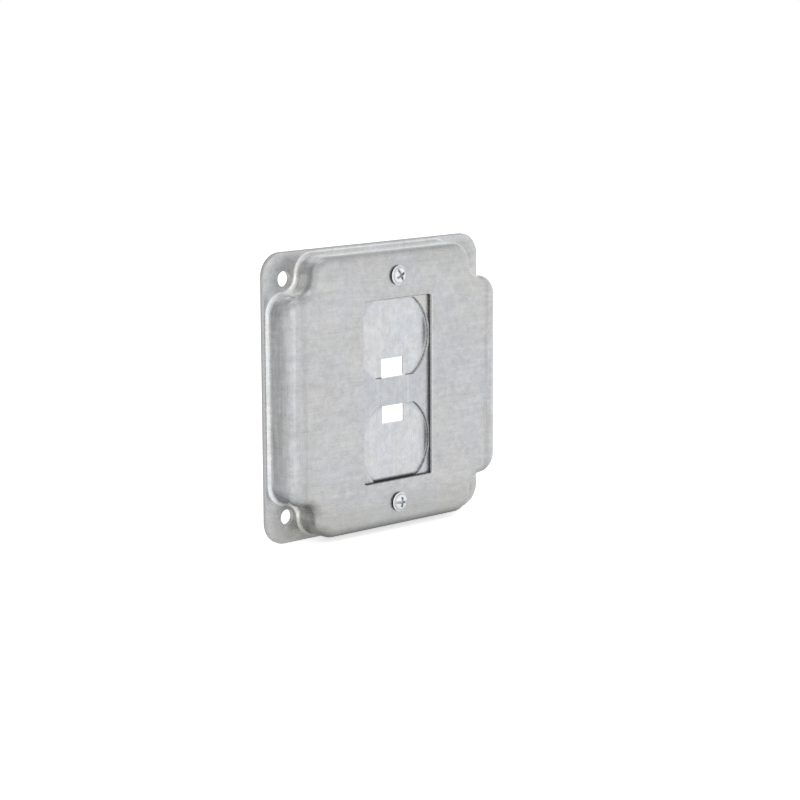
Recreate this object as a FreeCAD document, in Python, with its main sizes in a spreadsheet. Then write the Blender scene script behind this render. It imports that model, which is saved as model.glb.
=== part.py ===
"""Raised square box cover with a knockout device plate, as a parametric document in millimetres.

The cover hangs upright as it does on a wall box: X to the right, Z up, the front face looks along -Y.
The origin is the middle of the flange's back face, which is also the middle of the four corner holes.
"""
import FreeCAD
import Part
import math
import os
import Sketcher
from FreeCAD import Vector

# Each size is written once here and reaches the model through the sheet's aliases. Where pieces keep
# together, the text is the sheet's formula for one size from another and a named clearance.
SIZES = (
    # the drawn sheet steel cover
    ("flange_side", 104.8, "outside of the square flange"),
    ("flange_corner", 8.5, "corner radius of the flange"),
    ("flange_lip", 1.65, "flange beyond the pan's sides"),
    ("sheet", 1.6, "thickness of the cover's sheet"),
    ("height", 14.3, "back of the flange to the front face"),
    ("pan_width", "=flange_side - 2 * flange_lip", "outside of the raised pan, side to side"),
    ("pan_corner", 7.5, "outside radius where a pan side turns into a notch"),
    ("notch_radius", 5.9, "radius of the notch wall round a corner hole"),
    ("notch_shift", 0.65, "notch centre beyond the corner hole, along X and Z"),
    ("top_radius", 3.7, "outside radius of the pan's front edge"),
    ("foot_radius", 1.2, "front radius where the pan rises from the flange"),
    ("hole_inset", 9.55, "corner hole in from the flange's edges"),
    ("box_hole_pitch", "=flange_side - 2 * hole_inset", "corner hole spacing along X and Z"),
    ("box_hole", 5.6, "corner hole diameter"),
    ("opening_inset", 17.4, "pan side to the end of the device opening"),
    ("opening_height", "=pan_width - 2 * opening_inset", "device opening upright"),
    ("opening_corner", 1.1, "corner radius of the device opening"),
    ("punch_break", 0.25, "broken edge that the punch leaves on the front"),
    ("screw_reach", 8.32, "end of the opening to the device screw"),
    ("screw_pitch", "=opening_height + 2 * screw_reach", "spacing of the two device screws"),
    ("screw_hole", 4.0, "clearance hole of a device screw"),
    # the device plate behind the opening
    ("plate_drop", 0.7, "how far the plate hangs low in its screw clearance"),
    ("plate_gap", 0.1, "plate hole clear of the shank on its near side"),
    ("plate_hole", "=shank_width + 2 * (plate_drop + plate_gap)", "clearance hole in the plate"),
    ("web_height", 10.2, "web between the two outlet knockouts"),
    ("knock_lap", 0.25, "half of what the knockouts' ends reach beyond the opening's"),
    ("knock_height", "=(opening_height + 2 * knock_lap - web_height) / 2", "knockout between its two flats"),
    ("knock_bulge", 2.75, "side arc radius over half the knockout's height"),
    ("knock_radius", "=knock_height / 2 + knock_bulge", "side arcs of an outlet knockout"),
    ("upper_push", 1.15, "how far the half-sheared upper knockout is set back"),
    ("lower_push", 0.9, "how far the half-sheared lower knockout is set back"),
    ("side_lap", 0.35, "knockout arcs beyond the sides of the opening"),
    ("opening_width", "=2 * (knock_radius - side_lap)", "device opening across"),
    ("plate_sheet", 1.6, "thickness of the plate"),
    ("plate_lap", 5.575, "plate beyond the sides of the opening"),
    ("plate_width", "=opening_width + 2 * plate_lap", "plate across"),
    ("plate_end_gap", 1.2, "plate end to the curve of the pan's inside edge"),
    ("plate_corner", 3.0, "corner radius of the plate"),
    ("window_width", 11.5, "toggle opening across"),
    ("toggle_height", 23.9, "toggle opening upright, over both windows"),
    # screws and nuts
    ("head_width", 7.1, "screw head diameter"),
    ("head_height", 2.0, "screw head height"),
    ("head_rim", 0.75, "straight side of the head"),
    ("shank_width", 3.5, "shank diameter"),
    ("shank_length", 9.5, "shank length under the head"),
    ("shank_tip", 0.5, "chamfer at the shank's end"),
    ("slot_width", 0.9, "driver slot width"),
    ("slot_depth", 0.8, "driver slot depth"),
    ("cross_width", 1.0, "cross recess arm width"),
    ("cross_span", 3.9, "cross recess arm to arm"),
    ("cross_depth", 1.4, "cross recess depth"),
    ("upper_turn", 62.0, "upper screw's slot from the horizontal, in degrees"),
    ("lower_turn", 4.0, "lower screw's slot from the horizontal, in degrees"),
    ("nut_flats", 7.94, "nut across its flats"),
    ("nut_height", 2.8, "nut height"),
    ("nut_chamfer", 0.45, "how far the nut's corners are turned down"),
    ("thread_gap", 0.05, "nut bore clear of the shank, all round"),
)

# A sketch numbers the points of its geometry and its own axes like this.
START, END, CENTRE = range(1, 4)
X_AXIS, Y_AXIS = range(-1, -3, -1)
ORIGIN = (X_AXIS, START)
TOLERANCE = 1e-4

doc = FreeCAD.newDocument("RaisedBoxCover")


def make_sheet():
    """Write the sizes into the spreadsheet, one row each, with aliases."""
    sheet = doc.addObject("Spreadsheet::Sheet", "Sizes")
    for row, (alias, size, note) in enumerate(SIZES, start=1):
        sheet.set("A%d" % row, alias)
        sheet.setAlias("B%d" % row, alias)
        sheet.set("B%d" % row, str(size))
        sheet.set("C%d" % row, note)
    doc.recompute()
    return sheet


sizes = make_sheet()


def value(expression):
    """Number that an expression over the sheet's aliases gives now."""
    return float(sizes.evalExpression(expression))


def new_body(label):
    """Empty body whose label names its node."""
    body = doc.addObject("PartDesign::Body", label)
    body.Label = label
    return body


def new_sketch(body, name, role="XZ_Plane", offset=None):
    """Sketch on one of the body's own origin planes, moved along its normal by an expression."""
    sketch = body.newObject("Sketcher::SketchObject", name)
    plane = next(item for item in body.Origin.OriginFeatures if item.Role == role)
    sketch.AttachmentSupport = [(plane, "")]
    sketch.MapMode = "FlatFace"
    if offset:
        sketch.setExpression(".AttachmentOffset.Base.z", offset)
    doc.recompute()
    return sketch


def bind(sketch, name, expression, kind, *where):
    """Add a dimension that follows the sheet."""
    number = value(expression)
    index = sketch.addConstraint(Sketcher.Constraint(kind, *where, number))
    sketch.renameConstraint(index, name)
    sketch.setExpression("Constraints." + name, expression)


def join(sketch, kind, *where):
    """Add a constraint that has no number."""
    sketch.addConstraint(Sketcher.Constraint(kind, *where))


def turned(x, y, quarter):
    """Point turned about the origin by a number of quarter turns."""
    for _ in range(quarter):
        x, y = -y, x
    return Vector(x, y, 0)


def draw_arc(sketch, centre, radius, start, end):
    """Arc from one angle to another, counter-clockwise, in radians."""
    circle = Part.Circle(centre, Vector(0, 0, 1), radius)
    return sketch.addGeometry(Part.ArcOfCircle(circle, start, end), False)


def draw_rectangle(sketch, name, half_width, half_height, centre=None, corner=None):
    """Rectangle about a centre height on the vertical axis, with round corners when a radius is given."""
    wide = value(half_width)
    tall = value(half_height)
    middle = value(centre) if centre else 0.0
    turn = value(corner) if corner else 0.0
    signs = ((1, -1), (1, 1), (-1, 1), (-1, -1))
    lines = []
    arcs = []
    for side in range(4):
        sx, sy = signs[side]
        nx, ny = signs[(side + 1) % 4]
        upright = sx == nx
        across = wide if upright else wide - turn
        along = tall - turn if upright else tall
        start = Vector(sx * across, middle + sy * along, 0)
        end = Vector(nx * across, middle + ny * along, 0)
        lines.append(sketch.addGeometry(Part.LineSegment(start, end), False))
        join(sketch, "Vertical" if upright else "Horizontal", lines[-1])
        if corner:
            bend = Vector(nx * (wide - turn), middle + ny * (tall - turn), 0)
            angle = side * math.pi / 2
            arcs.append(draw_arc(sketch, bend, turn, angle, angle + math.pi / 2))
    for side in range(4):
        following = lines[(side + 1) % 4]
        if corner:
            join(sketch, "Tangent", lines[side], END, arcs[side], START)
            join(sketch, "Tangent", arcs[side], END, following, START)
            if side:
                join(sketch, "Equal", arcs[0], arcs[side])
        else:
            join(sketch, "Coincident", lines[side], END, following, START)
    if corner:
        bind(sketch, name + "_corner", corner, "Radius", arcs[0])
    bind(sketch, name + "_right", half_width, "DistanceX", *ORIGIN, lines[0], START)
    bind(sketch, name + "_left", half_width, "DistanceX", lines[2], START, *ORIGIN)
    top = "(%s) + (%s)" % (centre or "0", half_height)
    bottom = "(%s) - (%s)" % (centre or "0", half_height)
    bind(sketch, name + "_top", top, "DistanceY", *ORIGIN, lines[1], START)
    bind(sketch, name + "_bottom", bottom, "DistanceY", *ORIGIN, lines[3], START)


def draw_circle(sketch, name, diameter, across, upright):
    """Circle at a place that the sheet gives."""
    centre = Vector(value(across), value(upright), 0)
    circle = sketch.addGeometry(Part.Circle(centre, Vector(0, 0, 1), value(diameter) / 2), False)
    bind(sketch, name + "_width", diameter, "Diameter", circle)
    bind(sketch, name + "_across", across, "DistanceX", *ORIGIN, circle, CENTRE)
    bind(sketch, name + "_upright", upright, "DistanceY", *ORIGIN, circle, CENTRE)


def draw_pan(sketch, half, bend, notch, reach):
    """Square outline whose four corners are notched: side, outward bend, notch arc, outward bend."""
    side = value(half)
    outward = value(bend)
    inward = value(notch)
    corner = value(reach)
    across = corner - (side - outward)
    along = math.sqrt((outward + inward) ** 2 - across ** 2)
    bend_at = corner - along
    sweep = math.atan2(along, across)
    lines = []
    first_bends = []
    notches = []
    second_bends = []
    for quarter in range(4):
        angle = quarter * math.pi / 2
        lines.append(sketch.addGeometry(
            Part.LineSegment(turned(side, -bend_at, quarter), turned(side, bend_at, quarter)), False))
        first_bends.append(draw_arc(
            sketch, turned(side - outward, bend_at, quarter), outward, angle, angle + sweep))
        notches.append(draw_arc(
            sketch, turned(corner, corner, quarter), inward,
            angle + 3 * math.pi / 2 - sweep, angle + math.pi + sweep))
        second_bends.append(draw_arc(
            sketch, turned(bend_at, side - outward, quarter), outward,
            angle + math.pi / 2 - sweep, angle + math.pi / 2))
        join(sketch, "Horizontal" if quarter % 2 else "Vertical", lines[-1])
    for quarter in range(4):
        join(sketch, "Tangent", lines[quarter], END, first_bends[quarter], START)
        join(sketch, "Tangent", first_bends[quarter], END, notches[quarter], END)
        join(sketch, "Tangent", notches[quarter], START, second_bends[quarter], START)
        join(sketch, "Tangent", second_bends[quarter], END, lines[(quarter + 1) % 4], START)
        join(sketch, "Equal", first_bends[0], second_bends[quarter])
        if quarter:
            join(sketch, "Equal", first_bends[0], first_bends[quarter])
            join(sketch, "Equal", notches[0], notches[quarter])
    bind(sketch, "bend", bend, "Radius", first_bends[0])
    bind(sketch, "notch", notch, "Radius", notches[0])
    bind(sketch, "right", half, "DistanceX", *ORIGIN, lines[0], START)
    bind(sketch, "top", half, "DistanceY", *ORIGIN, lines[1], START)
    bind(sketch, "left", half, "DistanceX", lines[2], START, *ORIGIN)
    bind(sketch, "bottom", half, "DistanceY", lines[3], START, *ORIGIN)
    bind(sketch, "notch_x", reach, "DistanceX", *ORIGIN, notches[0], CENTRE)
    bind(sketch, "notch_z", reach, "DistanceY", *ORIGIN, notches[0], CENTRE)
    join(sketch, "Symmetric", notches[0], CENTRE, notches[1], CENTRE, Y_AXIS)
    join(sketch, "Symmetric", notches[0], CENTRE, notches[3], CENTRE, X_AXIS)
    join(sketch, "Symmetric", notches[0], CENTRE, notches[2], CENTRE, *ORIGIN)


def draw_knockout(sketch, side):
    """Outlet outline above (side 1) or below (side -1) the web: two arcs between two flats."""
    radius = value("Sizes.knock_radius")
    half = value("Sizes.knock_height") / 2
    centre = "(Sizes.web_height + Sizes.knock_height) / 2"
    middle = side * value(centre)
    flat = math.sqrt(radius ** 2 - half ** 2)
    swing = math.asin(half / radius)
    hub = Vector(0, middle, 0)
    right = draw_arc(sketch, hub, radius, -swing, swing)
    top = sketch.addGeometry(
        Part.LineSegment(Vector(flat, middle + half, 0), Vector(-flat, middle + half, 0)), False)
    left = draw_arc(sketch, hub, radius, math.pi - swing, math.pi + swing)
    bottom = sketch.addGeometry(
        Part.LineSegment(Vector(-flat, middle - half, 0), Vector(flat, middle - half, 0)), False)
    join(sketch, "Coincident", right, END, top, START)
    join(sketch, "Coincident", top, END, left, START)
    join(sketch, "Coincident", left, END, bottom, START)
    join(sketch, "Coincident", bottom, END, right, START)
    join(sketch, "Coincident", right, CENTRE, left, CENTRE)
    join(sketch, "Equal", right, left)
    join(sketch, "PointOnObject", right, CENTRE, Y_AXIS)
    join(sketch, "Horizontal", top)
    join(sketch, "Horizontal", bottom)
    bind(sketch, "radius", "Sizes.knock_radius", "Radius", right)
    bind(sketch, "middle", "%d * %s" % (side, centre), "DistanceY", *ORIGIN, right, CENTRE)
    bind(sketch, "upper_flat", "Sizes.knock_height / 2", "DistanceY", right, CENTRE, top, START)
    bind(sketch, "lower_flat", "Sizes.knock_height / 2", "DistanceY", bottom, START, right, CENTRE)


def pad(body, name, sketch, length, reversed_way=False):
    """Material along the sketch's normal, or against it."""
    feature = body.newObject("PartDesign::Pad", name)
    feature.Profile = sketch
    feature.Reversed = reversed_way
    feature.setExpression("Length", length)
    doc.recompute()
    return feature


def pocket(body, name, sketch, length=None, reversed_way=False):
    """Cut against the sketch's normal, or along it, to a depth or right through; it must remove metal."""
    before = body.Shape.Volume
    feature = body.newObject("PartDesign::Pocket", name)
    feature.Profile = sketch
    feature.Reversed = reversed_way
    if length:
        feature.setExpression("Length", length)
    else:
        feature.Type = "ThroughAll"
    doc.recompute()
    if not body.Shape.Volume < before - TOLERANCE:
        raise RuntimeError(name + " removes nothing")
    return feature


def picked_edges(tip, picked):
    """Names of the edges of a feature that the test picks."""
    return ["Edge%d" % number for number, edge in enumerate(tip.Shape.Edges, start=1) if picked(edge)]


def fillet(body, name, radius, picked):
    """Round the edges of the body's tip that the test picks."""
    tip = body.Tip
    feature = body.newObject("PartDesign::Fillet", name)
    feature.Base = (tip, picked_edges(tip, picked))
    feature.setExpression("Radius", radius)
    doc.recompute()
    return feature


def break_edges(body, name, size, picked):
    """Bevel the edges of the body's tip that the test picks."""
    tip = body.Tip
    feature = body.newObject("PartDesign::Chamfer", name)
    feature.Base = (tip, picked_edges(tip, picked))
    feature.setExpression("Size", size)
    doc.recompute()
    return feature


def lies_in_plane(edge, level):
    """Whether an edge lies at one depth."""
    box = edge.BoundBox
    return abs(box.YMin - level) < TOLERANCE and abs(box.YMax - level) < TOLERANCE


def within(edge, half_width, half_height):
    """Whether an edge stays inside a rectangle about the axis."""
    box = edge.BoundBox
    wide = max(abs(box.XMin), abs(box.XMax))
    tall = max(abs(box.ZMin), abs(box.ZMax))
    return wide < half_width + TOLERANCE and tall < half_height + TOLERANCE


def make_cover():
    """Drawn cover: a flange, a pan with notched corners in one wall thickness, the opening and the holes."""
    body = new_body("raised_cover")
    flange = new_sketch(body, "FlangeOutline")
    draw_rectangle(flange, "flange", "Sizes.flange_side / 2", "Sizes.flange_side / 2",
                   corner="Sizes.flange_corner")
    pad(body, "Flange", flange, "Sizes.sheet")
    reach = "Sizes.box_hole_pitch / 2 + Sizes.notch_shift"
    outside = new_sketch(body, "PanOutline")
    draw_pan(outside, "Sizes.pan_width / 2", "Sizes.pan_corner", "Sizes.notch_radius", reach)
    pad(body, "Pan", outside, "Sizes.height")
    face = -value("Sizes.height")
    front = -value("Sizes.sheet")
    pan_half = value("Sizes.pan_width / 2")
    fillet(body, "FrontEdge", "Sizes.top_radius", lambda edge: lies_in_plane(edge, face))
    fillet(body, "Foot", "Sizes.foot_radius",
           lambda edge: lies_in_plane(edge, front) and within(edge, pan_half, pan_half))
    inside = new_sketch(body, "HollowOutline")
    draw_pan(inside, "Sizes.pan_width / 2 - Sizes.sheet", "Sizes.pan_corner - Sizes.sheet",
             "Sizes.notch_radius + Sizes.sheet", reach)
    pocket(body, "Hollow", inside, "Sizes.height - Sizes.sheet", True)
    ceiling = face - front
    fillet(body, "HollowEdge", "Sizes.top_radius - Sizes.sheet",
           lambda edge: lies_in_plane(edge, ceiling))
    fillet(body, "BackRim", "Sizes.foot_radius + Sizes.sheet",
           lambda edge: lies_in_plane(edge, 0) and within(edge, pan_half, pan_half))
    opening = new_sketch(body, "OpeningOutline")
    draw_rectangle(opening, "opening", "Sizes.opening_width / 2", "Sizes.opening_height / 2",
                   corner="Sizes.opening_corner")
    pocket(body, "Opening", opening, None, True)
    cut_screw_holes(body, "Sizes.screw_hole", True)
    cut_box_holes(body)
    half_width = value("Sizes.opening_width / 2")
    half_height = value("Sizes.opening_height / 2")
    break_edges(body, "OpeningEdge", "Sizes.punch_break",
                lambda edge: lies_in_plane(edge, face) and within(edge, half_width, half_height))
    flange_half = value("Sizes.flange_side / 2")
    break_edges(body, "FlangeEdge", "Sizes.punch_break",
                lambda edge: lies_in_plane(edge, front) and not within(edge, pan_half, pan_half)
                and within(edge, flange_half, flange_half))
    return body


def cut_screw_holes(body, diameter, reversed_way):
    """Two clearance holes for the device screws."""
    holes = new_sketch(body, "ScrewHoleCentres")
    draw_circle(holes, "upper", diameter, "0", "Sizes.screw_pitch / 2")
    draw_circle(holes, "lower", diameter, "0", "-Sizes.screw_pitch / 2")
    pocket(body, "ScrewHoles", holes, None, reversed_way)


def cut_box_holes(body):
    """One corner hole through the flange, repeated round the middle."""
    corner = new_sketch(body, "BoxHoleCentre")
    draw_circle(corner, "box_hole", "Sizes.box_hole", "Sizes.box_hole_pitch / 2", "Sizes.box_hole_pitch / 2")
    hole = pocket(body, "BoxHole", corner, "2 * Sizes.sheet", True)
    before = body.Shape.Volume
    pattern = body.newObject("PartDesign::PolarPattern", "BoxHoles")
    pattern.Originals = [hole]
    axis = next(item for item in body.Origin.OriginFeatures if item.Role == "Y_Axis")
    pattern.Axis = (axis, [""])
    pattern.Angle = 360
    pattern.Occurrences = 4
    body.Tip = pattern
    doc.recompute()
    if not body.Shape.Volume < before - TOLERANCE:
        raise RuntimeError("BoxHoles removes nothing")


def make_plate():
    """Flat plate behind the opening, with half-sheared outlet knockouts and a toggle opening."""
    body = new_body("device_plate")
    body.setExpression(".Placement.Base.y", "-(Sizes.height - Sizes.sheet)")
    body.setExpression(".Placement.Base.z", "-Sizes.plate_drop")
    blank = new_sketch(body, "PlateOutline")
    half_height = "Sizes.pan_width / 2 - Sizes.top_radius - Sizes.plate_end_gap"
    draw_rectangle(blank, "plate", "Sizes.plate_width / 2", half_height, corner="Sizes.plate_corner")
    pad(body, "Plate", blank, "Sizes.plate_sheet", True)
    back = "-Sizes.plate_sheet"
    for name, side in (("Upper", 1), ("Lower", -1)):
        boss = new_sketch(body, name + "KnockBack", offset=back)
        draw_knockout(boss, side)
        push = "Sizes.%s_push" % name.lower()
        pad(body, name + "Boss", boss, push, True)
        recess = new_sketch(body, name + "KnockFront")
        draw_knockout(recess, side)
        pocket(body, name + "Recess", recess, push)
    window_across = "Sizes.window_width / 2"
    window_half = "(Sizes.toggle_height - Sizes.web_height) / 4"
    window_centre = "(Sizes.toggle_height + Sizes.web_height) / 4"
    windows = new_sketch(body, "WindowOutlines")
    draw_rectangle(windows, "upper", window_across, window_half, centre=window_centre)
    draw_rectangle(windows, "lower", window_across, window_half, centre="-" + window_centre)
    pocket(body, "Windows", windows)
    cut_screw_holes(body, "Sizes.plate_hole", False)
    return body


def make_screw(label, side, turn):
    """Domed machine screw with a slot and a cross recess; its origin is under the head, shank along +Y."""
    body = new_body(label)
    body.Placement = FreeCAD.Placement(Vector(0, 0, 0), FreeCAD.Rotation(Vector(0, 1, 0), 1))
    body.setExpression(".Placement.Base.y", "-Sizes.height")
    body.setExpression(".Placement.Base.z", "%d * Sizes.screw_pitch / 2" % side)
    body.setExpression(".Placement.Rotation.Angle", turn)
    turning = new_sketch(body, "Profile", "XY_Plane")
    draw_screw_profile(turning)
    feature = body.newObject("PartDesign::Revolution", "Turning")
    feature.Profile = turning
    feature.ReferenceAxis = (turning, ["V_Axis"])
    feature.Angle = 360
    doc.recompute()
    slot = new_sketch(body, "SlotOutline", offset="Sizes.head_height")
    draw_rectangle(slot, "slot", "Sizes.head_width", "Sizes.slot_width / 2")
    pocket(body, "Slot", slot, "Sizes.slot_depth")
    for name, wide, tall in (("Level", "span", "width"), ("Upright", "width", "span")):
        arm = new_sketch(body, name + "ArmOutline", offset="Sizes.head_height")
        draw_rectangle(arm, "arm", "Sizes.cross_%s / 2" % wide, "Sizes.cross_%s / 2" % tall)
        pocket(body, name + "Arm", arm, "Sizes.cross_depth")
    return body


def draw_screw_profile(sketch):
    """Half section of a screw: dome, rim, seat, shank and tip, closed along the axis."""
    head = value("Sizes.head_width / 2")
    height = value("Sizes.head_height")
    rim = value("Sizes.head_rim")
    shank = value("Sizes.shank_width / 2")
    length = value("Sizes.shank_length")
    tip = value("Sizes.shank_tip")
    rise = height - rim
    dome = (head ** 2 + rise ** 2) / (2 * rise)
    hub = Vector(0, dome - height, 0)
    edge_angle = math.atan2(-rim - hub.y, head)
    arc = draw_arc(sketch, hub, dome, -math.pi / 2, edge_angle)
    corners = (
        Vector(head, -rim, 0),
        Vector(head, 0, 0),
        Vector(shank, 0, 0),
        Vector(shank, length - tip, 0),
        Vector(shank - tip, length, 0),
        Vector(0, length, 0),
        Vector(0, -height, 0),
    )
    lines = []
    for start, end in zip(corners, corners[1:]):
        lines.append(sketch.addGeometry(Part.LineSegment(start, end), False))
    side, seat, wall, bevel, end_face, axis = lines
    join(sketch, "Coincident", arc, END, side, START)
    for first, second in zip(lines, lines[1:]):
        join(sketch, "Coincident", first, END, second, START)
    join(sketch, "Coincident", axis, END, arc, START)
    join(sketch, "PointOnObject", arc, CENTRE, Y_AXIS)
    join(sketch, "PointOnObject", axis, START, Y_AXIS)
    join(sketch, "PointOnObject", axis, END, Y_AXIS)
    join(sketch, "PointOnObject", side, END, X_AXIS)
    join(sketch, "Vertical", side)
    join(sketch, "Horizontal", seat)
    join(sketch, "Vertical", wall)
    join(sketch, "Horizontal", end_face)
    bind(sketch, "head", "Sizes.head_width / 2", "DistanceX", *ORIGIN, side, START)
    bind(sketch, "rim", "Sizes.head_rim", "DistanceY", side, START, side, END)
    bind(sketch, "height", "Sizes.head_height", "DistanceY", axis, END, *ORIGIN)
    bind(sketch, "shank", "Sizes.shank_width / 2", "DistanceX", *ORIGIN, wall, START)
    bind(sketch, "length", "Sizes.shank_length", "DistanceY", *ORIGIN, end_face, START)
    bind(sketch, "tip_deep", "Sizes.shank_tip", "DistanceY", bevel, START, bevel, END)
    bind(sketch, "tip_wide", "Sizes.shank_tip", "DistanceX", bevel, END, bevel, START)


def make_nut(label, side):
    """Hexagon nut on the back of the plate; its origin is the middle of its seat."""
    body = new_body(label)
    body.setExpression(".Placement.Base.y", "-(Sizes.height - Sizes.sheet - Sizes.plate_sheet)")
    body.setExpression(".Placement.Base.z", "%d * Sizes.screw_pitch / 2" % side)
    outline = new_sketch(body, "HexOutline")
    draw_hexagon(outline)
    pad(body, "Hexagon", outline, "Sizes.nut_height", True)
    bore = new_sketch(body, "BoreOutline")
    draw_circle(bore, "bore", "Sizes.shank_width + 2 * Sizes.thread_gap", "0", "0")
    pocket(body, "Bore", bore)
    cutter = new_sketch(body, "CornerOutline", "XY_Plane")
    draw_corner_cutter(cutter)
    before = body.Shape.Volume
    groove = body.newObject("PartDesign::Groove", "Corners")
    groove.Profile = cutter
    groove.ReferenceAxis = (cutter, ["V_Axis"])
    groove.Angle = 360
    doc.recompute()
    if not body.Shape.Volume < before - TOLERANCE:
        raise RuntimeError("Corners removes nothing")
    return body


def draw_hexagon(sketch):
    """Regular hexagon with a flat above and below."""
    flats = value("Sizes.nut_flats")
    corner = flats / math.sqrt(3)
    points = [Vector(corner * math.cos(math.radians(60 * k)), corner * math.sin(math.radians(60 * k)), 0)
              for k in range(6)]
    lines = []
    for start, end in zip(points, points[1:] + points[:1]):
        lines.append(sketch.addGeometry(Part.LineSegment(start, end), False))
    ring = sketch.addGeometry(Part.Circle(Vector(0, 0, 0), Vector(0, 0, 1), corner), True)
    join(sketch, "Coincident", ring, CENTRE, *ORIGIN)
    for number, line in enumerate(lines):
        join(sketch, "Coincident", line, END, lines[(number + 1) % 6], START)
        join(sketch, "PointOnObject", line, START, ring)
        if number:
            join(sketch, "Equal", lines[0], line)
    join(sketch, "Horizontal", lines[1])
    bind(sketch, "flats", "Sizes.nut_flats / 2", "DistanceY", *ORIGIN, lines[1], START)


def draw_corner_cutter(sketch):
    """Triangle that, turned about the nut's axis, takes its corners down on the side away from the seat."""
    flat = value("Sizes.nut_flats / 2")
    drop = value("Sizes.nut_chamfer")
    top = value("Sizes.nut_height")
    reach = value("Sizes.nut_flats")
    slope = drop / (flat * (2 / math.sqrt(3) - 1))
    points = (
        Vector(flat, top, 0),
        Vector(reach, top - slope * (reach - flat), 0),
        Vector(reach, top, 0),
    )
    lines = []
    for start, end in zip(points, points[1:] + points[:1]):
        lines.append(sketch.addGeometry(Part.LineSegment(start, end), False))
    join(sketch, "Coincident", lines[0], END, lines[1], START)
    join(sketch, "Coincident", lines[1], END, lines[2], START)
    join(sketch, "Coincident", lines[2], END, lines[0], START)
    join(sketch, "Vertical", lines[1])
    join(sketch, "Horizontal", lines[2])
    bind(sketch, "flat", "Sizes.nut_flats / 2", "DistanceX", *ORIGIN, lines[0], START)
    bind(sketch, "top", "Sizes.nut_height", "DistanceY", *ORIGIN, lines[0], START)
    bind(sketch, "reach", "Sizes.nut_flats", "DistanceX", *ORIGIN, lines[1], START)
    fall = "Sizes.nut_chamfer / (2 / sqrt(3) - 1)"
    bind(sketch, "fall", fall, "DistanceY", lines[1], START, lines[1], END)


def check(parts):
    """Stop if any object failed or any sub-part is not one valid solid."""
    for item in doc.Objects:
        if "Invalid" in item.State or "Error" in item.State:
            raise RuntimeError("%s failed: %s" % (item.Label, item.State))
    for part in parts:
        shape = part.Shape
        if shape.isNull() or not shape.isValid() or len(shape.Solids) != 1:
            raise RuntimeError(part.Label + " is not one valid solid")


parts = [
    make_cover(),
    make_plate(),
    make_screw("upper_screw", 1, "Sizes.upper_turn"),
    make_screw("lower_screw", -1, "Sizes.lower_turn"),
    make_nut("upper_nut", 1),
    make_nut("lower_nut", -1),
]
doc.recompute()
check(parts)
os.makedirs("parts", exist_ok=True)
for part in parts:
    part.Shape.exportStep("parts/%s.step" % part.Label)
    print(part.Label, "volume", round(part.Shape.Volume, 2))
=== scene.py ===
"""Looks of the raised square box cover: its steel and zinc, the studio and the camera."""
import math

import bpy
from mathutils import Matrix, Vector


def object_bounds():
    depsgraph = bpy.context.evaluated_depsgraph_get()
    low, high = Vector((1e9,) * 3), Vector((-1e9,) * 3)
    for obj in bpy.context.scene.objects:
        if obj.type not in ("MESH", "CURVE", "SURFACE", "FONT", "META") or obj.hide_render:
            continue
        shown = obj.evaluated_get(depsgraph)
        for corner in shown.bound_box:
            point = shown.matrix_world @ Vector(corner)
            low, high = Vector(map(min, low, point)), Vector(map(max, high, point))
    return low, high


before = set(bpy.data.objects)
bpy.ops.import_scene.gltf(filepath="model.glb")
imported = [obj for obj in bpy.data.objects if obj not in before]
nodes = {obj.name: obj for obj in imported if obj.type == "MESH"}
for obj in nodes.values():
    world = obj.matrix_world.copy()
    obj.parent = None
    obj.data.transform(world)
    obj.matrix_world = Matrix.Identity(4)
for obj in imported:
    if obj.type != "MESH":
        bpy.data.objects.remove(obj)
cad_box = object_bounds()

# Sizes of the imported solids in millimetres, as the materials need them. X and Z are measured from the
# cover's middle, and Y from the flange's back, so it is negative on the way to the front face.
FLANGE_HALF = 52.4
FLANGE_CORNER = 8.5
HOLE_AT = 42.85
HOLE_REACH = 2.95
OPENING = (16.65, 33.35)
OPENING_EDGE = 0.45
FACE = -14.3
FOOT = -3.0
SHEET = 1.6
SCREW_AT = 41.67
HEAD_RADIUS = 3.4
SHANK_RADIUS = 1.9
PLATE_DROP = 0.7
PLATE_FRONT = -12.7
KNOCK_RADIUS = 17.0
KNOCK_HALF = 14.25
KNOCK_CENTRE = 19.35
WEB_HALF = 5.1
WINDOW_HALF = 5.75
TOGGLE_HALF = 11.95
THREAD_PITCH = 0.794

# Colours, as the material reflects them: tints of whole pieces, what changes them, the cut edges, and
# painted shades and lights.
COVER_TINT = (0.575, 0.579, 0.586)
PLATE_TINT = (0.665, 0.680, 0.702)
SCREW_TINT = (0.88, 0.90, 0.925)
NUT_TINT = (0.56, 0.57, 0.58)
WARMER = (1.008, 1.0, 0.985)
COOLER = (0.985, 1.0, 1.02)
WARM_CAST = (1.0, 0.995, 0.96, 1.0)
LOW_TONE = (0.57, 0.565, 0.535, 1.0)
CREST_SHADE = (0.29, 0.295, 0.29, 1.0)
CREAM_STAIN = (0.68, 0.675, 0.63, 1.0)
ROLLED_SHADE = (0.36, 0.40, 0.415, 1.0)
FLAT_SHADE = (0.15, 0.157, 0.162, 1.0)
CRACK_SHADE = (0.04, 0.042, 0.045, 1.0)
COVER_SHEARED = (0.50, 0.50, 0.495)
COVER_BROKEN_AND_SHADE = (0.045, 0.048, 0.05)
PLATE_SHEARED = (0.72, 0.72, 0.70)
PLATE_BROKEN_AND_SHADE = (0.05, 0.052, 0.055)
WINDOW_WALL_PAINTED_LIT = (0.9, 0.9, 0.9, 1.0)
FLOOR_WHITE = (0.93, 0.93, 0.93, 1.0)
WHITE = (1.0, 1.0, 1.0, 1.0)

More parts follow.
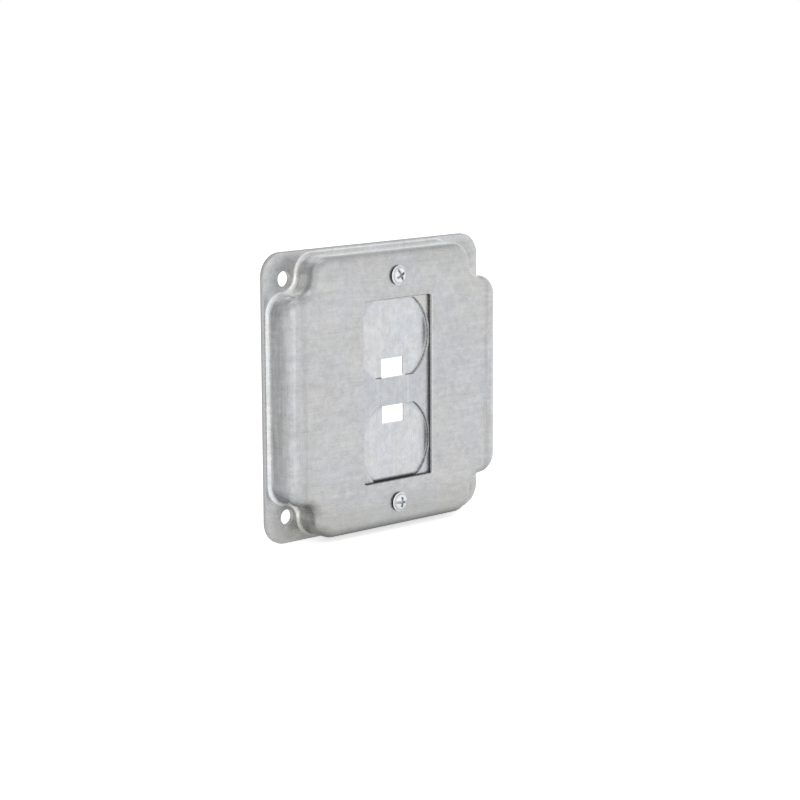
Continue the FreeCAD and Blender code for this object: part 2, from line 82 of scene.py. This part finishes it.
# How the metal reflects: its roughness swings a little along the grain, and broken metal is duller.
COVER_ROUGH = 0.29
PLATE_ROUGH = 0.27
SCREW_ROUGH = 0.26
NUT_ROUGH = 0.34
SHEET_METALLIC = 0.8
ZINC_METALLIC = 0.75
ROUGH_SWING = 0.05
BROKEN_ROUGHER = 0.35
BROKEN_LESS_METALLIC = 0.5
SHEET_RELIEF = (0.00002, 0.6)
THREAD_RELIEF = (0.0009, 1.0)
ZINC_RELIEF = (0.00001, 0.5)

# The photograph's viewpoint, from the fit of its corners, holes and opening: angles in radians, lengths
# in metres, and the lens and the sensor in millimetres.
AZIMUTH = 0.745009
ELEVATION = 0.175219
ROLL = -0.004840
DISTANCE = 0.876014
SHIFT_RIGHT = 0.01026419
SHIFT_UP = -0.00572429
LENS = 107.3674
SENSOR = 36.0

# Where the white surround is darker: toward this direction, from the first cosine to the second, down to
# this brightness. They are behind the cover on the left, overhead at the back, and straight overhead.
DARKER = (
    ((-0.783, 0.622, 0.0), 0.1, 0.85, 0.8),
    ((0.5, 0.35, 0.792), 0.8, 0.97, 0.6),
    ((0.0, 0.0, 1.0), 0.3, 0.8, 0.8),
)


class Nodes:
    """A node tree that starts empty, with short calls for the nodes that the looks need."""

    def __init__(self, tree):
        self.tree = tree
        self.tree.nodes.clear()

    def new(self, kind):
        return self.tree.nodes.new("ShaderNode" + kind)

    def feed(self, socket, source):
        """Feed a socket from a number, a colour or another node's output."""
        if isinstance(source, bpy.types.NodeSocket):
            self.tree.links.new(source, socket)
        else:
            socket.default_value = source

    def math(self, operation, first, second=0.0):
        node = self.new("Math")
        node.operation = operation
        self.feed(node.inputs[0], first)
        self.feed(node.inputs[1], second)
        return node.outputs[0]

    def folded(self, operation, first, *others):
        """One operation over several numbers, from the first to the last."""
        for other in others:
            first = self.math(operation, first, other)
        return first

    def add(self, *terms):
        return self.folded("ADD", *terms)

    def times(self, *factors):
        return self.folded("MULTIPLY", *factors)

    def largest(self, *sources):
        return self.folded("MAXIMUM", *sources)

    def minus(self, first, second):
        return self.math("SUBTRACT", first, second)

    def less(self, first, second):
        return self.math("LESS_THAN", first, second)

    def more(self, first, second):
        return self.math("GREATER_THAN", first, second)

    def absolute(self, source):
        return self.math("ABSOLUTE", source)

    def distance(self, first, second):
        """Distance from nothing, of a point with these two coordinates."""
        return self.math("SQRT", self.add(self.math("POWER", first, 2.0), self.math("POWER", second, 2.0)))

    def span(self, source, low, high, to_low, to_high, smooth=True):
        """Map one range to another, and hold it at the ends."""
        node = self.new("MapRange")
        node.interpolation_type = "SMOOTHSTEP" if smooth else "LINEAR"
        for socket, number in zip(node.inputs, (source, low, high, to_low, to_high)):
            self.feed(socket, number)
        return node.outputs[0]

    def rise(self, source, low, high):
        """0 below a range and 1 above it."""
        return self.span(source, low, high, 0.0, 1.0)

    def fall(self, source, low, high):
        """1 below a range and 0 above it."""
        return self.span(source, low, high, 1.0, 0.0)

    def swing(self, source, amount):
        """Noise turned into a swing about nothing, of about this size."""
        return self.span(source, 0.3, 0.7, -amount, amount, smooth=False)

    def parts(self, vector):
        node = self.new("SeparateXYZ")
        self.feed(node.inputs[0], vector)
        return node.outputs

    def joined(self, x, y):
        """Vector from two numbers."""
        node = self.new("CombineXYZ")
        self.feed(node.inputs[0], x)
        self.feed(node.inputs[1], y)
        return node.outputs[0]

    def scaled(self, vector, factor):
        """Vector or colour times a number."""
        node = self.new("VectorMath")
        node.operation = "SCALE"
        self.feed(node.inputs[0], vector)
        self.feed(node.inputs["Scale"], factor)
        return node.outputs[0]

    def changed(self, colour, *changes):
        """Colour made lighter or darker by these shares of itself."""
        return self.scaled(colour, self.add(1.0, *changes))

    def mix(self, factor, first, second, blend="MIX"):
        node = self.new("Mix")
        node.data_type = "RGBA"
        node.blend_type = blend
        self.feed(node.inputs["Factor"], factor)
        self.feed(node.inputs["A"], first)
        self.feed(node.inputs["B"], second)
        return node.outputs["Result"]

    def noise(self, vector, scale, detail, roughness, bend=0.0):
        node = self.new("TexNoise")
        self.feed(node.inputs["Vector"], vector)
        node.inputs["Scale"].default_value = scale
        node.inputs["Detail"].default_value = detail
        node.inputs["Roughness"].default_value = roughness
        node.inputs["Distortion"].default_value = bend
        return node.outputs["Fac"]


class Material(Nodes):
    """A new material with one Principled surface."""

    def __init__(self, name):
        self.material = bpy.data.materials.new(name)
        self.material.use_nodes = True
        super().__init__(self.material.node_tree)
        output = self.new("OutputMaterial")
        self.surface = self.new("BsdfPrincipled")
        self.feed(output.inputs["Surface"], self.surface.outputs[0])

    def give(self, name, source):
        self.feed(self.surface.inputs[name], source)


class Metal(Material):
    """Material of one piece: it knows the place on it, in millimetres, and which way its surface looks."""

    def __init__(self, name):
        super().__init__(name)
        self.place = self.scaled(self.new("TexCoord").outputs["Object"], 1000.0)
        self.x, self.y, self.z = self.parts(self.place)
        self.nx, self.ny, self.nz = self.parts(self.new("NewGeometry").outputs["Normal"])

    def mapped(self, stretch, offset=(0, 0, 0), turn=0.0):
        """The place, stretched along X, Y and Z, moved, and turned about Y."""
        node = self.new("Mapping")
        node.vector_type = "POINT"
        self.feed(node.inputs["Vector"], self.place)
        node.inputs["Scale"].default_value = stretch
        node.inputs["Location"].default_value = offset
        node.inputs["Rotation"].default_value = (0, turn, 0)
        return node.outputs[0]

    def grain(self, stretch, detail, roughness, offset=(0, 0, 0), turn=0.0):
        """Noise with its own number of waves to the millimetre along X, Y and Z."""
        return self.noise(self.mapped(stretch, offset, turn), 1.0, detail, roughness)

    def cells(self, scale):
        """Distance to the nearest of scattered points, and that point's own random number."""
        node = self.new("TexVoronoi")
        self.feed(node.inputs["Vector"], self.place)
        node.inputs["Scale"].default_value = scale
        return node.outputs["Distance"], self.parts(node.outputs["Color"])[0]

    def bump(self, height, distance, strength, normal=None):
        node = self.new("Bump")
        node.inputs["Strength"].default_value = strength
        node.inputs["Distance"].default_value = distance
        self.feed(node.inputs["Height"], height)
        if normal:
            self.feed(node.inputs["Normal"], normal)
        return node.outputs[0]


def scratches(metal, seed):
    """Fine straight scratches at three slants, as one number that is 1 in a scratch."""
    marks = []
    for turn, offset in ((0.35, 3.0), (-0.9, 11.0), (1.25, 23.0)):
        along = metal.grain((0.05, 0.05, 3.2), 1.0, 0.4, (offset + seed, 0, seed), turn)
        marks.append(metal.rise(along, 0.73, 0.78))
    return metal.largest(*marks)


def sheet_finish(metal, across, tint, seed):
    """Galvanised sheet: rolled grain, clouds, specks and scratches, as a colour, a height and the grain."""
    grain = (0.1, 0.1, 2.1) if across else (2.1, 0.1, 0.1)
    coarse = (0.05, 0.05, 0.5) if across else (0.5, 0.05, 0.05)
    rolled = metal.grain(grain, 4.0, 0.62, (seed, seed, seed))
    bands = metal.grain(coarse, 3.0, 0.5, (seed, 2 * seed, seed))
    fine = metal.noise(metal.place, 1.6, 3.0, 0.6)
    blotch = metal.noise(metal.place, 0.42, 3.0, 0.55, 0.6)
    clouds = metal.noise(metal.place, 0.16, 2.0, 0.5, 0.4)
    distance, pick = metal.cells(0.55)
    speck = metal.times(metal.fall(distance, 0.1, 0.2), metal.rise(pick, 0.7, 0.75))
    scratch = scratches(metal, seed)
    shade = (metal.swing(rolled, 0.048), metal.swing(bands, 0.04), metal.swing(fine, 0.04),
             metal.swing(blotch, 0.085), metal.swing(clouds, 0.04),
             metal.times(speck, metal.swing(fine, 0.25)), metal.times(scratch, 0.06))
    warm = (*(own * change for own, change in zip(tint, WARMER)), 1.0)
    cool = (*(own * change for own, change in zip(tint, COOLER)), 1.0)
    hue = metal.noise(metal.mapped((1, 1, 1), (7 * seed, 0, 3 * seed)), 0.05, 2.0, 0.6)
    colour = metal.changed(metal.mix(metal.rise(hue, 0.35, 0.65), warm, cool), *shade)
    height = metal.add(metal.times(rolled, 0.6), metal.times(fine, 0.4), metal.times(scratch, -0.5))
    return colour, height, rolled


def wall_marks_and_painted_light(metal, colour, wall, corner):
    """Walls of the pan: drawing lines and stains, painted shade half way up at the sides, and painted light
    on the walls that look up.
    """
    lines = metal.grain((0.07, 1.7, 0.07), 3.0, 0.6)
    stain = metal.grain((1.0, 0.5, 0.12), 3.0, 0.6, (5.0, 0, 0))
    painted_side_shade = metal.times(metal.rise(metal.y, -13.7, -8.0), metal.span(metal.y, -4.6, -2.6, 1.0, 0.4),
                           metal.absolute(metal.nx), metal.rise(corner, 7.0, 13.0))
    # Painted shade half way up the sides and painted light on the walls that look up, over the drawing lines
    # and stains.
    return metal.changed(
        colour, metal.times(wall, metal.add(metal.swing(lines, 0.08), metal.swing(stain, 0.07))),
        metal.times(painted_side_shade, wall, -0.37), metal.times(metal.rise(metal.nz, 0.6, 0.9), wall, 0.5))


def foot_lines_and_highlight(metal, colour):
    """Foot of the pan: a painted highlight, streaked with drawn lines, a little weaker along the top."""
    foot = metal.times(metal.rise(metal.y, -3.8, -2.6), metal.fall(metal.y, -1.68, -1.62))
    lines = metal.grain((0.15, 5.0, 0.15), 2.0, 0.5)
    top = metal.rise(metal.z, 49.5, 50.5)
    # Painted highlight along the foot of the pan.
    lighter = metal.add(0.5, metal.swing(lines, 0.14), metal.times(top, -0.08))
    return metal.changed(colour, metal.times(foot, lighter))


def edge_streaks_and_painted_light(metal, colour, wide):
    """Rounded front edge at the sides: streaks, a band of painted shade where it starts and a painted
    highlight where it ends.
    """
    edge = metal.times(metal.rise(wide, 42.0, 44.0), metal.fall(metal.y, -11.5, -10.0))
    streaks = metal.grain((1.4, 0.3, 0.03), 3.0, 0.6, (0, 0, 3.0))
    band = metal.times(metal.rise(wide, 42.5, 44.5), metal.fall(wide, 45.0, 46.5))
    gleam = metal.times(metal.rise(wide, 47.9, 48.5), metal.fall(wide, 49.0, 49.7))
    # Painted shade in the band, and a painted highlight in the gleam.
    return metal.changed(colour, metal.times(edge, metal.add(
        metal.swing(streaks, 0.1), metal.times(band, -0.1), metal.times(gleam, 0.09))))


def low_tone_and_painted_shade(metal, colour):
    """Warmer and darker towards the bottom, darker at the top, and painted shade on whatever looks down."""
    low = metal.fall(metal.z, -50.5, -34.0)
    colour = metal.mix(metal.times(low, 0.4), colour, LOW_TONE)
    # Painted shade on the surfaces that look down, added to the darkening towards the bottom.
    under = metal.add(metal.times(low, 0.1), metal.times(metal.less(metal.y, FOOT), metal.add(
        metal.times(metal.fall(metal.nz, -0.4, -0.03), 0.16),
        metal.times(metal.fall(metal.nz, -0.9, -0.35), 0.4))))
    high = metal.times(metal.rise(metal.z, 38.0, 49.0), 0.08)
    return metal.scaled(colour, metal.minus(1.0, metal.add(under, high)))


def notch_grime_and_painted_light(metal, colour, steep, corner, wide, tall):
    """Round the corner holes: grime, drawn rings over a painted highlight at the foot, painted light on the
    flange further out, painted shade on the crest of the wall, and a warm cast.
    """
    dirt = metal.noise(metal.place, 0.5, 4.0, 0.65, 0.8)
    grimy = metal.times(metal.fall(corner, 5.0, 13.0), metal.rise(metal.y, -2.2, -1.5),
                        metal.minus(1.0, steep))
    colour = metal.changed(colour, metal.times(grimy, metal.add(metal.swing(dirt, 0.1), -0.04)))
    # Drawn rings at the foot over a painted highlight; further out, the flange gets painted light.
    rings = metal.math("SINE", metal.add(metal.times(corner, 6.7), metal.swing(dirt, 1.5)))
    inward = metal.minus(2 * HOLE_AT, metal.add(wide, tall))
    ringed_foot_highlight = metal.times(metal.rise(corner, 3.5, 4.3), metal.fall(corner, 6.0, 7.5),
                         metal.rise(metal.y, -3.6, -2.6), metal.rise(inward, 3.2, 5.2))
    flange = metal.times(metal.rise(metal.y, -2.0, -1.7), metal.less(metal.ny, -0.9))
    colour = metal.changed(colour, metal.times(ringed_foot_highlight, metal.add(0.22, metal.times(rings, 0.2))),
                           metal.times(flange, metal.rise(corner, 5.0, 9.0), 0.14))
    # Painted shade on the crest of the notch's wall, mottled by the grime noise.
    crest = metal.times(metal.fall(corner, 8.0, 10.0), metal.rise(metal.y, -11.2, -9.9),
                        metal.fall(metal.y, -8.9, -7.6))
    colour = metal.mix(metal.times(crest, metal.add(0.45, metal.swing(dirt, 0.25))), colour, CREST_SHADE)
    cast = metal.mix(1.0, colour, WARM_CAST, "MULTIPLY")
    return metal.mix(metal.times(metal.fall(corner, 7.0, 12.0), 0.35), colour, cast)


def cover_cuts(metal, colour, corner, wide, tall):
    """Cut edges of the cover: sheared where the punch went in, and broken beyond, which it gives as well.
    Broken metal is rough and is painted nearly black as shade, further on the wall that looks up.
    """
    in_opening = metal.less(metal.largest(metal.minus(wide, OPENING[0] + OPENING_EDGE),
                                          metal.minus(tall, OPENING[1] + OPENING_EDGE)), 0.0)
    straight = FLANGE_HALF - FLANGE_CORNER
    outer = metal.distance(metal.largest(metal.minus(wide, straight), 0.0),
                           metal.largest(metal.minus(tall, straight), 0.0))
    at_rim = metal.more(outer, FLANGE_CORNER - 0.2)
    in_hole = metal.less(corner, HOLE_REACH)
    cut = metal.times(metal.largest(in_opening, at_rim, in_hole), metal.less(metal.absolute(metal.ny), 0.93))
    # Painted highlight along the opening's right edge.
    right_edge_highlight = metal.times(metal.fall(metal.x, OPENING[0] + 0.4, OPENING[0] + 0.9),
                       metal.more(metal.x, OPENING[0]), metal.less(tall, OPENING[1]))
    colour = metal.changed(colour, metal.times(right_edge_highlight, 0.25))
    ragged = metal.grain((2.5, 1.0, 2.5), 3.0, 0.6)
    uneven = metal.swing(ragged, 0.16)
    depth = metal.add(metal.minus(metal.y, FACE), uneven)
    # The wall that looks up is painted dark from nearer the front, as painted shade.
    lower_wall = metal.rise(metal.nz, 0.4, 0.6)
    opening_broken = metal.times(
        in_opening, metal.rise(metal.add(depth, metal.times(lower_wall, 0.7)), 0.85, 1.0))
    rim_broken = metal.times(
        metal.minus(1.0, in_opening), metal.rise(metal.add(metal.y, uneven), -0.9, -0.7))
    broken = metal.times(cut, metal.largest(opening_broken, metal.times(rim_broken, 0.2)))
    sheared = metal.grain((5.0, 0.3, 5.0), 2.0, 0.6)
    colour = metal.mix(cut, colour, metal.changed(COVER_SHEARED, metal.swing(sheared, 0.15)))
    # Broken metal, painted nearly black as the shade in the gap behind the cut.
    colour = metal.mix(broken, colour, metal.changed(COVER_BROKEN_AND_SHADE, metal.swing(ragged, 0.5)))
    return colour, broken


def cover_steel():
    """Cover: rolled across, its walls drawn, its cut edges sheared and broken, with painted light and shade
    on its walls, edges and notches.
    """
    metal = Metal("cover_steel")
    wide, tall = metal.absolute(metal.x), metal.absolute(metal.z)
    corner = metal.distance(metal.minus(wide, HOLE_AT), metal.minus(tall, HOLE_AT))
    steep = metal.fall(metal.absolute(metal.ny), 0.2, 0.95)
    wall = metal.times(steep, metal.fall(metal.y, FOOT, -1.2))
    colour, height, rolled = sheet_finish(metal, True, COVER_TINT, 1.7)
    colour = wall_marks_and_painted_light(metal, colour, wall, corner)
    colour = foot_lines_and_highlight(metal, colour)
    colour = edge_streaks_and_painted_light(metal, colour, wide)
    colour = low_tone_and_painted_shade(metal, colour)
    colour = notch_grime_and_painted_light(metal, colour, steep, corner, wide, tall)
    colour, broken = cover_cuts(metal, colour, corner, wide, tall)
    metal.give("Base Color", colour)
    metal.give("Roughness", metal.add(COVER_ROUGH, metal.swing(rolled, ROUGH_SWING),
                                      metal.times(broken, BROKEN_ROUGHER), metal.times(wall, -0.03)))
    metal.give("Metallic", metal.minus(SHEET_METALLIC, metal.times(broken, BROKEN_LESS_METALLIC)))
    metal.give("Normal", metal.bump(height, *SHEET_RELIEF))
    return metal.material


def knockout_marks_and_painted_light(metal, colour, front, lower, inside, own_z, tall):
    """Front of the plate: the web between the knockouts, a stain, a fold mark, and painted shade and
    highlights along the knockouts' edges.
    """
    pushed = metal.times(front, metal.more(inside, 0.0))
    painted_arc_shade = metal.times(pushed, metal.fall(inside, 0.2, 2.4), lower)
    web = metal.times(front, metal.fall(inside, -0.05, 0.05))
    colour = metal.mix(web, colour, metal.scaled(colour, 0.862))
    cream = metal.times(web, metal.more(own_z, 27.0), metal.more(metal.x, 0.0), 0.6)
    colour = metal.mix(cream, colour, CREAM_STAIN)
    # Painted reflection of the dark gap, inside the lower knockout's arcs.
    colour = metal.mix(metal.times(painted_arc_shade, 0.45), colour, ROLLED_SHADE)
    from_flat = metal.minus(KNOCK_CENTRE + KNOCK_HALF, tall)
    # Painted shade along the lower knockout's outer flat, above the opening's bottom edge.
    colour = metal.mix(metal.times(pushed, lower, metal.fall(from_flat, 1.0, 2.3)), colour, FLAT_SHADE)
    fold = metal.times(front, metal.rise(metal.x, WINDOW_HALF - 0.1, WINDOW_HALF + 0.15),
                       metal.fall(metal.x, WINDOW_HALF + 0.75, WINDOW_HALF + 1.0),
                       metal.less(tall, WEB_HALF + 0.3))
    # Painted highlight just outside the knockouts' arcs on the left.
    painted_arc_highlight = metal.times(front, metal.fall(metal.absolute(metal.add(inside, 0.25)), 0.2, 0.5),
                              metal.less(metal.x, -8.0))
    return metal.changed(colour, metal.times(fold, 0.1), metal.times(painted_arc_highlight, 0.12)), pushed


def plate_cuts(metal, colour, lower, ragged, tall):
    """Cut edges of the plate and its windows. Says where an edge is broken, and where a window's wall is.
    The windows' walls are painted light with painted shade along their back edge, and broken metal is
    painted nearly black.
    """
    wide = metal.absolute(metal.x)
    upright = metal.less(metal.absolute(metal.ny), 0.6)
    depth = metal.add(metal.minus(metal.y, PLATE_FRONT), metal.swing(ragged, 0.12))
    at_edge = metal.largest(metal.more(wide, 18.0), metal.more(tall, 35.0))
    broken = metal.times(upright, at_edge, metal.rise(depth, 0.55, 0.75))
    in_window = metal.times(upright, metal.less(wide, WINDOW_HALF + 0.1),
                            metal.less(tall, TOGGLE_HALF + 0.1))
    # The windows' walls are painted a pale, lit colour.
    sheared = metal.mix(in_window, metal.changed(PLATE_SHEARED, metal.swing(ragged, 0.2)), WINDOW_WALL_PAINTED_LIT)
    further = metal.add(depth, metal.times(lower, 0.25))
    # Painted shade along the back edge of each window's wall.
    painted_back_shade = metal.times(in_window, metal.rise(further, 2.3, 2.5), 0.65)
    colour = metal.mix(upright, colour, sheared)
    colour = metal.mix(metal.largest(broken, painted_back_shade), colour,
                       metal.changed(PLATE_BROKEN_AND_SHADE, metal.swing(ragged, 0.5)))
    return colour, broken, in_window


def plate_steel():
    """Plate: rolled upright, with the sheared outlines of its knockouts and painted shade in the groove
    round them.
    """
    metal = Metal("plate_steel")
    own_z = metal.add(metal.z, PLATE_DROP)
    tall = metal.absolute(own_z)
    from_hub = metal.minus(tall, KNOCK_CENTRE)
    inside = metal.math("MINIMUM", metal.minus(KNOCK_RADIUS, metal.distance(metal.x, from_hub)),
                        metal.minus(KNOCK_HALF, metal.absolute(from_hub)))
    front = metal.times(metal.less(metal.ny, -0.8), metal.less(metal.y, PLATE_FRONT + SHEET - 0.1))
    lower = metal.less(own_z, 0.0)
    ragged = metal.grain((1.8, 1.0, 1.8), 3.0, 0.6)
    colour, height, rolled = sheet_finish(metal, False, PLATE_TINT, 4.3)
    colour, pushed = knockout_marks_and_painted_light(metal, colour, front, lower, inside, own_z, tall)
    colour, broken, in_window = plate_cuts(metal, colour, lower, ragged, tall)
    # Painted shade in the groove round each knockout.
    groove_shade = metal.times(pushed, metal.fall(metal.add(inside, metal.swing(ragged, 0.08)), 0.1, 0.34),
                        metal.add(0.75, metal.times(lower, 0.15)))
    colour = metal.mix(groove_shade, colour, CRACK_SHADE)
    dull = metal.largest(broken, groove_shade)
    metal.give("Base Color", colour)
    metal.give("Roughness", metal.add(PLATE_ROUGH, metal.swing(rolled, ROUGH_SWING),
                                      metal.times(dull, BROKEN_ROUGHER)))
    metal.give("Metallic", metal.minus(SHEET_METALLIC, metal.largest(
        metal.times(dull, BROKEN_LESS_METALLIC), metal.times(in_window, 0.7))))
    metal.give("Normal", metal.bump(height, *SHEET_RELIEF))
    return metal.material


def zinc(name, tint, roughness, middle):
    """Zinc plating on a turned part, with a thread on its shank, and painted shade in the head's recess and
    on its rim.
    """
    metal = Metal(name)
    y = metal.y
    up = metal.minus(metal.z, middle)
    ring = metal.distance(metal.x, up)
    angle = metal.math("ARCTAN2", up, metal.x)
    fine = metal.noise(metal.place, 2.6, 3.0, 0.6)
    turned = metal.noise(metal.joined(metal.times(ring, 9.0), metal.times(angle, 0.6)), 1.0, 2.0, 0.5)
    sideways = metal.absolute(metal.ny)
    # Painted shade in the head's cross recess.
    recess_shade = metal.times(metal.rise(y, FACE - 1.55, FACE - 1.15), metal.less(ring, 3.2),
                         metal.less(y, FACE - 0.3))
    # Painted shade, nearly black, on the head's rim.
    rim_shade = metal.times(metal.less(sideways, 0.3), metal.more(ring, HEAD_RADIUS), metal.less(y, FACE + 0.1))
    value = metal.times(metal.add(1.0, metal.swing(fine, 0.05), metal.swing(turned, 0.04)),
                        metal.add(1.0, metal.times(recess_shade, -0.35), metal.times(rim_shade, -0.94)))
    metal.give("Base Color", metal.scaled(tint, value))
    metal.give("Roughness", metal.add(roughness, metal.swing(fine, ROUGH_SWING)))
    metal.give("Metallic", ZINC_METALLIC)
    shank = metal.times(metal.less(ring, SHANK_RADIUS), metal.more(y, FACE + 0.2), metal.less(sideways, 0.5))
    turns = metal.add(metal.math("DIVIDE", y, THREAD_PITCH), metal.math("DIVIDE", angle, 2 * math.pi))
    thread = metal.bump(metal.times(shank, metal.math("PINGPONG", turns, 0.5)), *THREAD_RELIEF)
    metal.give("Normal", metal.bump(fine, *ZINC_RELIEF, thread))
    return metal.material


def paint(name, material):
    """Give a solid its one material."""
    mesh = nodes[name].data
    mesh.materials.clear()
    mesh.materials.append(material)


def make_floor():
    """White floor that the cover stands on, lit up a little for the camera and in reflections."""
    mesh = bpy.data.meshes.new("floor")
    half = 4.0
    level = cad_box[0][2]
    corners = [(-half, -half, level), (half, -half, level), (half, half, level), (-half, half, level)]
    mesh.from_pydata(corners, [], [(0, 1, 2, 3)])
    floor = bpy.data.objects.new("floor", mesh)
    bpy.context.scene.collection.objects.link(floor)
    white = Material("floor_white")
    white.give("Base Color", FLOOR_WHITE)
    white.give("Roughness", 0.9)
    white.give("Emission Color", WHITE)
    path = white.new("LightPath").outputs
    white.give("Emission Strength", white.add(white.times(path["Is Camera Ray"], 0.66),
                                              white.times(path["Is Glossy Ray"], 0.28)))
    mesh.materials.append(white.material)


def make_world():
    """White surround: plain white for the camera, and a little darker in the places named in DARKER."""
    world = bpy.data.worlds.new("studio")
    bpy.context.scene.world = world
    world.use_nodes = True
    sky = Nodes(world.node_tree)
    background = sky.new("Background")
    sky.feed(sky.new("OutputWorld").inputs["Surface"], background.outputs[0])
    x, y, z = sky.parts(sky.new("TexCoord").outputs["Generated"])
    falls = []
    for toward, start, end, brightness in DARKER:
        along = sky.add(sky.times(x, toward[0]), sky.times(y, toward[1]), sky.times(z, toward[2]))
        falls.append(sky.span(along, start, end, 1.0, brightness))
    camera_ray = sky.new("LightPath").outputs["Is Camera Ray"]
    sky.feed(background.inputs["Strength"], sky.largest(sky.times(*falls), camera_ray))
    sky.feed(background.inputs["Color"], WHITE)


def make_lamp(name, place, size, power):
    """Square soft box that looks at the cover: place and size in metres, power in watts."""
    data = bpy.data.lights.new(name, "AREA")
    data.size = size
    data.energy = power
    lamp = bpy.data.objects.new(name, data)
    bpy.context.scene.collection.objects.link(lamp)
    lamp.location = place
    lamp.rotation_euler = (-Vector(place)).to_track_quat("-Z", "Y").to_euler()


def make_camera():
    """Camera at the photograph's viewpoint."""
    ahead = Vector((math.sin(AZIMUTH) * math.cos(ELEVATION), math.cos(AZIMUTH) * math.cos(ELEVATION),
                    -math.sin(ELEVATION)))
    level = Vector((math.cos(AZIMUTH), -math.sin(AZIMUTH), 0))
    upright = level.cross(ahead)
    right = math.cos(ROLL) * level + math.sin(ROLL) * upright
    up = math.cos(ROLL) * upright - math.sin(ROLL) * level
    data = bpy.data.cameras.new("camera")
    data.sensor_width = SENSOR
    data.lens = LENS
    data.clip_start = 0.01
    camera = bpy.data.objects.new("camera", data)
    bpy.context.scene.collection.objects.link(camera)
    turn = Matrix((right, up, -ahead)).transposed().to_4x4()
    turn.translation = SHIFT_RIGHT * right + SHIFT_UP * up - DISTANCE * ahead
    camera.matrix_world = turn
    bpy.context.scene.camera = camera


paint("raised_cover", cover_steel())
paint("device_plate", plate_steel())
for kind, tint, roughness in (("screw", SCREW_TINT, SCREW_ROUGH), ("nut", NUT_TINT, NUT_ROUGH)):
    for side, middle in (("upper", SCREW_AT), ("lower", -SCREW_AT)):
        name = side + "_" + kind
        paint(name, zinc("zinc_" + name, tint, roughness, middle))
make_floor()
make_world()
make_lamp("key", (-0.9, -1.5, 0.7), 3.0, 1.8)
make_camera()
bpy.context.scene.view_settings.view_transform = "Standard"
